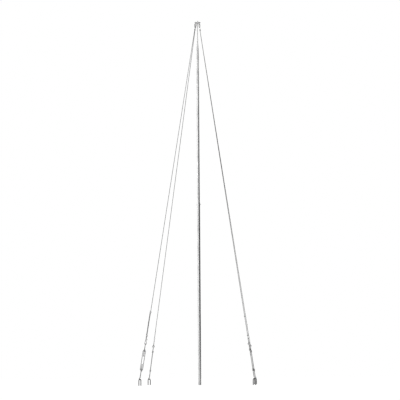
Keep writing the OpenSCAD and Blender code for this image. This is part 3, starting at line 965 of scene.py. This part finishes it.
def saddle_rings():
    """Rings of a rope clip's saddle, hollowed for the main strand."""
    groove = ROPE_R + SEAT_GAP
    depth = ROPE_R + SADDLE_WEB
    wide = ARM_Y + SADDLE_SIDE
    turn = np.linspace(-0.5, 0.5, 13) * math.radians(SADDLE_GRIP)
    seat = [(groove * math.cos(a), groove * math.sin(a)) for a in turn]
    rings = []
    for share, shrink in ((-1.0, SADDLE_EDGE), (-0.9, 0.0), (0.9, 0.0), (1.0, SADDLE_EDGE)):
        half = [
            (shrink, wide - shrink), (depth - SADDLE_CORNER, wide - shrink),
            (depth - shrink, wide - SADDLE_SLOPE),
        ]
        back = half + [(x, -y) for x, y in reversed(half)]
        rings.append(np.array([(-STRAND_X - x, y, share * SADDLE_HALF) for x, y in seat + back]))
    return rings


def clip_shape():
    """One rope clip: U-bolt over the loose strand, saddle under the main one, two nuts."""
    clip = Shape()
    nut_x = STRAND_X + ROPE_R + SADDLE_WEB + SEAT_GAP
    nut_top = nut_x + CLIP_NUT
    end = nut_top + CLIP_END
    lay = turned(-90.0, "Y") @ turned(-90.0)
    leg = [(ARM_Y, z) for z in np.linspace(end, -STRAND_X, 14)]
    path = leg + arc((0.0, -STRAND_X), ARM_Y, 0.0, -180.0, steps=24)[1:] + mirrored(leg)[1:]
    thick = [CLIP_R * (CLIP_ROOT if z > nut_x else 1.0) for _, z in path]
    clip.skin(bar_rings(path, thick, U_BOLT_SIDES), lay)
    threaded = (nut_top - THREAD_IN, end - CLIP_BARE)
    thread = thread_mesh([threaded], CLIP_R, CLIP_THREAD_PITCH, CLIP_THREAD_STEPS)
    ear_low = STRAND_X + ROPE_R * SADDLE_EAR
    ear = rounded(CLIP_R + SADDLE_RIM, ear_low, STRAND_X + ROPE_R + SADDLE_WEB, SADDLE_EDGE)
    for y in (-ARM_Y, ARM_Y):
        arm = lay @ moved(y, 0, 0)
        clip.skin(hexagon_rings(CLIP_AF, nut_x, nut_top), arm)
        clip.take_mesh(thread, arm)
        clip.skin(rings_of(ear, SADDLE_SIDES), arm)
    clip.skin(saddle_rings())
    return clip


def take_ferrule(shape, place):
    """An oval sleeve pressed round two strands, with rounded ends."""
    rings = []
    for radius, height in rounded(FERRULE_R, 0.0, FERRULE_LEN, FERRULE_EDGE):
        side = arc((STRAND_X, 0.0), radius, -90.0, 90.0, steps=16)
        oval = [*side, *[(-x, -y) for x, y in side]]
        rings.append(np.array([(x, y, height) for x, y in oval]))
    shape.skin(rings, place)


def head_fitting_pieces():
    """Shackles, pins, thimbles and ferrules at the heads of all the guys."""
    bows, pins, thimbles, ferrules = Shape(), Shape(), Shape(), Shape()
    for guy in GUYS:
        take_bow(bows, guy.at(guy.length))
        take_pin(pins, guy.at(guy.length))
        thimbles.skin(thimble_rings(), guy.at(guy.head_s) @ turned(180.0, "Y"))
        take_ferrule(ferrules, guy.at(guy.head_s - EYE_LEN - FERRULE_START - FERRULE_LEN))
    bows.dress("shackle_bows", "zinc_fittings", "head_shackles")
    pins.dress("shackle_screw_pins", "zinc_fittings", "head_shackle_pins")
    thimbles.dress("head_rope_thimbles", "zinc_fittings", "head_thimbles")
    ferrules.dress("pressed_ferrules", "rod_metal", "head_ferrules", "pressed_aluminium")


def foot_fitting_pieces(guy, pattern):
    """The thimble and the clips at the foot of a guy."""
    thimble, clips = Shape(), Shape()
    thimble.skin(thimble_rings(), guy.at(FOOT_LOOP_S) @ guy.turn)
    runs = (FIRST_CLIP, FIRST_CLIP + CLIP_PITCH, guy.foot_tail - LAST_CLIP)
    row = [[(0, 0, FOOT_LOOP_S + EYE_LEN + run)] for run in runs]
    values = {"Piece": pattern, "Finish": FINISHES["zinc_fittings"]}
    clips.take_mesh(grown(ROW, row, values), guy.place @ guy.turn)
    thimble.dress("foot_rope_thimble_" + guy.side, "zinc_fittings", "foot_thimble_" + guy.side)
    clips.dress("foot_rope_clips_" + guy.side, "zinc_fittings", "foot_clips_" + guy.side)


def rope_line(guy):
    """Points of a rope's middle, from its loose end at the head to its loose end at the foot."""
    angle = math.degrees(LEG_ANGLE)
    head_close = guy.head_s - EYE_LEN
    foot_close = FOOT_LOOP_S + EYE_LEN
    head = [(STRAND_X, head_close - HEAD_TAIL), (STRAND_X, head_close)]
    head += arc((0.0, guy.head_s), LOOP_R, -angle, 180.0 + angle, LOOP_STEPS)
    head += [(-STRAND_X, head_close), (-STRAND_X, head_close - HEAD_TAIL)]
    foot = [(-STRAND_X, foot_close + guy.foot_tail), (-STRAND_X, foot_close)]
    foot += arc((0.0, FOOT_LOOP_S), LOOP_R, 180.0 - angle, 360.0 + angle, LOOP_STEPS)
    foot += [(STRAND_X, foot_close), (STRAND_X, foot_close + guy.foot_tail)]
    upper = [Vector((x, 0.0, z)) for x, z in head]
    lower = [guy.turn @ Vector((x, 0.0, z)) for x, z in foot]
    return [guy.place @ point for point in upper + lower]


def rope_piece(guy, line):
    """A guy's rope: strands laid round a core."""
    mesh = grown(WINDING, [line], {
        "Strands": ROPE_STRANDS, "Lay": ROPE_LAY, "Winding Radius": ROPE_R - STRAND_R,
        "Strand Radius": STRAND_R * STRAND_SWELL, "Core Radius": STRAND_R * CORE_SWELL, "Cored": True,
        "Steps": ROPE_STEPS, "Sides": WIRE_SIDES, "Finish": FINISHES["wire_rope"],
    })
    dress("stranded_guy_rope_" + guy.side, mesh, "wire_rope", "guy_rope_" + guy.side)


def binding_piece(guy, line):
    """The wire bound round a rope's loose end at the foot."""
    cut = line[-1]
    way = (line[-2] - cut).normalized()
    bound = (cut + way * BINDING_START, cut + way * (BINDING_START + BINDING_LEN))
    mesh = grown(WINDING, [bound], {
        "Strands": 1, "Lay": BINDING_PITCH, "Winding Radius": BINDING_R,
        "Strand Radius": BINDING_WIRE, "Cored": False, "Steps": BINDING_STEPS, "Sides": WIRE_SIDES,
        "Finish": FINISHES["zinc_fittings"],
    })
    dress("rope_end_binding_" + guy.side, mesh, "zinc_fittings", "guy_rope_" + guy.side)


def eye_piece(guy):
    """A turnbuckle's eye: a ring on a domed shoulder, with its screw below."""
    eye = Shape()
    place = guy.place @ guy.turn
    ring = arc((0.0, EYE_S), RING_R, 0.0, 360.0, steps=56)[:-1]
    eye.skin(bar_rings(ring, RING_BAR, joined=True), place @ turned(90.0), joined=True)
    top = EYE_S - RING_R
    low = top - UPPER_SCREW - END_LEN - INNER_SCREW
    plain = top - EYE_SHANK
    screw = [
        (SCREW_POINT_R, low), (SCREW_ROOT_R, low + SCREW_END),
        (SCREW_ROOT_R, plain - RUN_OUT), (SCREW_R, plain),
    ]
    for a in np.radians(np.linspace(0.0, EYE_DOME_TURN, 12)):
        screw.append((SCREW_R * math.cos(a), top - EYE_SHOULDER + EYE_DOME * math.sin(a)))
    eye.skin(rings_of(screw, SCREW_SIDES), place)
    inner = (low + SCREW_END, low + INNER_SCREW + SCREW_HIDDEN)
    outer = (top - UPPER_SCREW - SCREW_HIDDEN, plain - RUN_OUT / 2)
    eye.take_mesh(thread_mesh([inner, outer], SCREW_R, SCREW_PITCH), place)
    eye.dress("turnbuckle_eye_screw_" + guy.side, "dark_steel", "turnbuckle_eye_" + guy.side)


def body_piece(guy):
    """A turnbuckle's open body: two side bars that run into a boss at each end."""
    body = Shape()
    half = BODY_LEN / 2 - END_LEN
    middle = guy.place @ guy.turn @ moved(0, 0, BODY_S + BODY_LEN / 2)
    loop = arc((0.0, half), SIDE_REACH, 0.0, 180.0, steps=32)
    loop += [(-x, -z) for x, z in loop]
    body.skin(bar_rings(loop, SIDE_BAR, joined=True), middle, joined=True)
    boss = rounded(END_R, half, half + END_LEN, END_EDGE)
    for flip in (0.0, 180.0):
        body.skin(rings_of(boss, COLLAR_SIDES), middle @ turned(flip, "X"))
    body.dress("turnbuckle_open_body_" + guy.side, "dark_steel", "turnbuckle_body_" + guy.side)


def hook_bar_rings(shank):
    """Rings of a hook's bent bar, from its round tip through its neck to the given height."""
    rise = math.sqrt(RING_R * (RING_R + 2.0 * HOOK_NECK))
    leave = math.degrees(math.atan2(rise, HOOK_NECK))
    start = 90.0 - HOOK_SWEEP - math.degrees(HOOK_TIP / RING_R)
    full = start + math.degrees(HOOK_TIP_R / RING_R)
    shares = [k / HOOK_TIP_STEPS for k in range(HOOK_TIP_STEPS)]
    dome = arc((0.0, HOOK_S), RING_R, start, full, HOOK_TIP_STEPS)[:-1]
    bend = arc((0.0, HOOK_S), RING_R, full, leave, LOOP_STEPS)
    neck = arc((HOOK_NECK, HOOK_S + rise), HOOK_NECK, 180.0 + leave, 180.0, steps=12)[1:]
    stem = [(0.0, HOOK_S + rise + HOOK_STRAIGHT), (0.0, shank)]
    swell = [HOOK_TIP_R + (RING_BAR - HOOK_TIP_R) * share * (2.0 - share) for share in shares]
    thick = [HOOK_TIP_R * max(HOOK_TIP_LEAST, math.sqrt(1.0 - (1.0 - share) ** 2)) for share in shares]
    thick += swell + [RING_BAR] * (len(bend) - len(swell))
    thick += [*np.linspace(RING_BAR, SCREW_R, len(neck)), SCREW_R, SCREW_R]
    return bar_rings([*dome, *bend, *neck, *stem], thick)


def hook_piece(guy):
    """A turnbuckle's hook on the staple's bar, with its screw above."""
    hook = Shape()
    foot = HOOK_S + RING_R
    high = foot + LOWER_SCREW + END_LEN + INNER_SCREW
    shank = foot + HOOK_SHANK
    hook.skin(hook_bar_rings(shank), guy.place)
    screw = [
        (SCREW_R, shank - RUN_OUT / 2), (SCREW_ROOT_R, shank + RUN_OUT),
        (SCREW_ROOT_R, high - SCREW_END), (SCREW_POINT_R, high),
    ]
    hook.skin(rings_of(screw, SCREW_SIDES), guy.place)
    outer = (shank + RUN_OUT / 2, foot + LOWER_SCREW + SCREW_HIDDEN)
    inner = (high - INNER_SCREW - SCREW_HIDDEN, high - SCREW_END)
    hook.take_mesh(thread_mesh([outer, inner], SCREW_R, SCREW_PITCH), guy.place)
    hook.dress("turnbuckle_hook_screw_" + guy.side, "dark_steel", "turnbuckle_hook_" + guy.side)


def staple_piece(guy):
    """The bent bar in the ground that a guy is hooked to."""
    staple = Shape()
    bend_z = STAPLE_BAR_Z - STAPLE_HALF
    leg = [(STAPLE_HALF, bend_z * share) for share in np.linspace(0.0, STAPLE_LEG, 6)]
    path = [*leg, *arc((0.0, bend_z), STAPLE_HALF, 0.0, 180.0, steps=32), *mirrored(leg)]
    staple.skin(bar_rings(path, STAPLE_BAR), guy.ground @ turned(90.0))
    staple.dress("bent_ground_staple_" + guy.side, "dark_steel", "ground_staple_" + guy.side)


def make_camera():
    """The photo's view: far away, near the ground and slightly rolled."""
    data = bpy.data.cameras.new("camera")
    data.lens = CAMERA_LENS
    data.sensor_width = CAMERA_SENSOR
    data.clip_end = CAMERA_REACH
    camera = bpy.data.objects.new("camera", data)
    bpy.context.scene.collection.objects.link(camera)
    place = turned(CAMERA_TURN) @ Vector((AIM_ASIDE, -CAMERA_DISTANCE, CAMERA_HEIGHT))
    aim = turned(CAMERA_TURN) @ Vector((AIM_ASIDE, 0.0, AIM_HEIGHT))
    look = (aim - place).to_track_quat("-Z", "Y").to_matrix().to_4x4()
    camera.matrix_world = moved(*place) @ look @ turned(CAMERA_ROLL)
    bpy.context.scene.camera = camera


def seen_rays(tree):
    """1 for rays that show the background: from the camera, from gloss and through glass."""
    path = tree.add("ShaderNodeLightPath", output="Is Camera Ray")
    total = path + path.out("Is Glossy Ray") + path.out("Is Transmission Ray")
    return total.math("MINIMUM", 1.0)


def make_world():
    """White behind the object, and an even fill on it."""
    world = bpy.data.worlds.new("studio")
    world.use_nodes = True
    bpy.context.scene.world = world
    t = Tree(world.node_tree)
    t.tree.nodes.clear()
    strength = FILL + (1.0 - FILL) * seen_rays(t)
    light = t.add("ShaderNodeBackground", None, {"Color": grey(1.0), "Strength": strength})
    t.add("ShaderNodeOutputWorld", None, {"Surface": light})


def stage_piece(name, points, faces):
    """Makes a piece of the stage, and returns it with its material's empty tree."""
    mesh = bpy.data.meshes.new(name)
    mesh.from_pydata(points, [], faces)
    piece = bpy.data.objects.new(name, mesh)
    bpy.context.scene.collection.objects.link(piece)
    material = bpy.data.materials.new(name)
    material.use_nodes = True
    material.node_tree.nodes.clear()
    mesh.materials.append(material)
    return piece, Tree(material.node_tree)


def make_floor():
    """A pale floor that keeps the object's shadow."""
    h = FLOOR_HALF
    _, t = stage_piece("floor", [(-h, -h, 0), (h, -h, 0), (h, h, 0), (-h, h, 0)], [(0, 1, 2, 3)])
    matt = t.add("ShaderNodeBsdfDiffuse", None, {"Color": grey(FLOOR_TONE)})
    glow = t.add("ShaderNodeEmission", None, {"Color": grey(1.0), "Strength": FLOOR_GLOW * seen_rays(t)})
    both = t.add("ShaderNodeAddShader", None, {0: matt, 1: glow})
    t.add("ShaderNodeOutputMaterial", None, {"Surface": both})


def make_card():
    """A dark card on the right, lying on the floor and rising behind it, that only gloss shows."""
    turns = np.radians(np.linspace(*CARD_TURN, CARD_POINTS))
    profile = ((CARD_INNER, CARD_LIFT), (CARD_RADIUS, CARD_LIFT), (CARD_RADIUS, CARD_HEIGHT))
    points = [(r * math.sin(a), -r * math.cos(a), z) for r, z in profile for a in turns]
    faces = []
    for first in range(0, len(points) - CARD_POINTS, CARD_POINTS):
        for k in range(first, first + CARD_POINTS - 1):
            faces.append((k, k + 1, k + 1 + CARD_POINTS, k + CARD_POINTS))
    card, t = stage_piece("card", points, faces)
    card.visible_camera = False
    card.visible_diffuse = False
    card.visible_shadow = False
    matt = t.add("ShaderNodeBsdfDiffuse", None, {"Color": grey(CARD_TONE)})
    t.add("ShaderNodeOutputMaterial", None, {"Surface": matt})


def make_light():
    """A broad sun from the upper left, on the viewer's side."""
    data = bpy.data.lights.new("key", "SUN")
    data.energy = KEY_ENERGY
    data.angle = math.radians(KEY_ANGLE)
    key = bpy.data.objects.new("key", data)
    bpy.context.scene.collection.objects.link(key)
    key.rotation_mode = "QUATERNION"
    key.rotation_quaternion = (-KEY_FROM).to_track_quat("-Z", "Y")


def make_object():
    """Every piece, from the mast to each guy's staple."""
    lower_tube_piece()
    upper_tube_piece()
    foot_piece()
    rod_piece()
    bolt_piece()
    head_piece()
    head_fitting_pieces()
    pattern = bpy.data.objects.new("clip_pattern", clip_shape().mesh("clip_pattern"))
    for guy in GUYS:
        line = rope_line(guy)
        foot_fitting_pieces(guy, pattern)
        rope_piece(guy, line)
        binding_piece(guy, line)
        eye_piece(guy)
        body_piece(guy)
        hook_piece(guy)
        staple_piece(guy)
    bpy.data.objects.remove(pattern)


bpy.context.scene.view_settings.view_transform = "Standard"
make_camera()
make_world()
make_floor()
make_card()
make_light()
make_object()
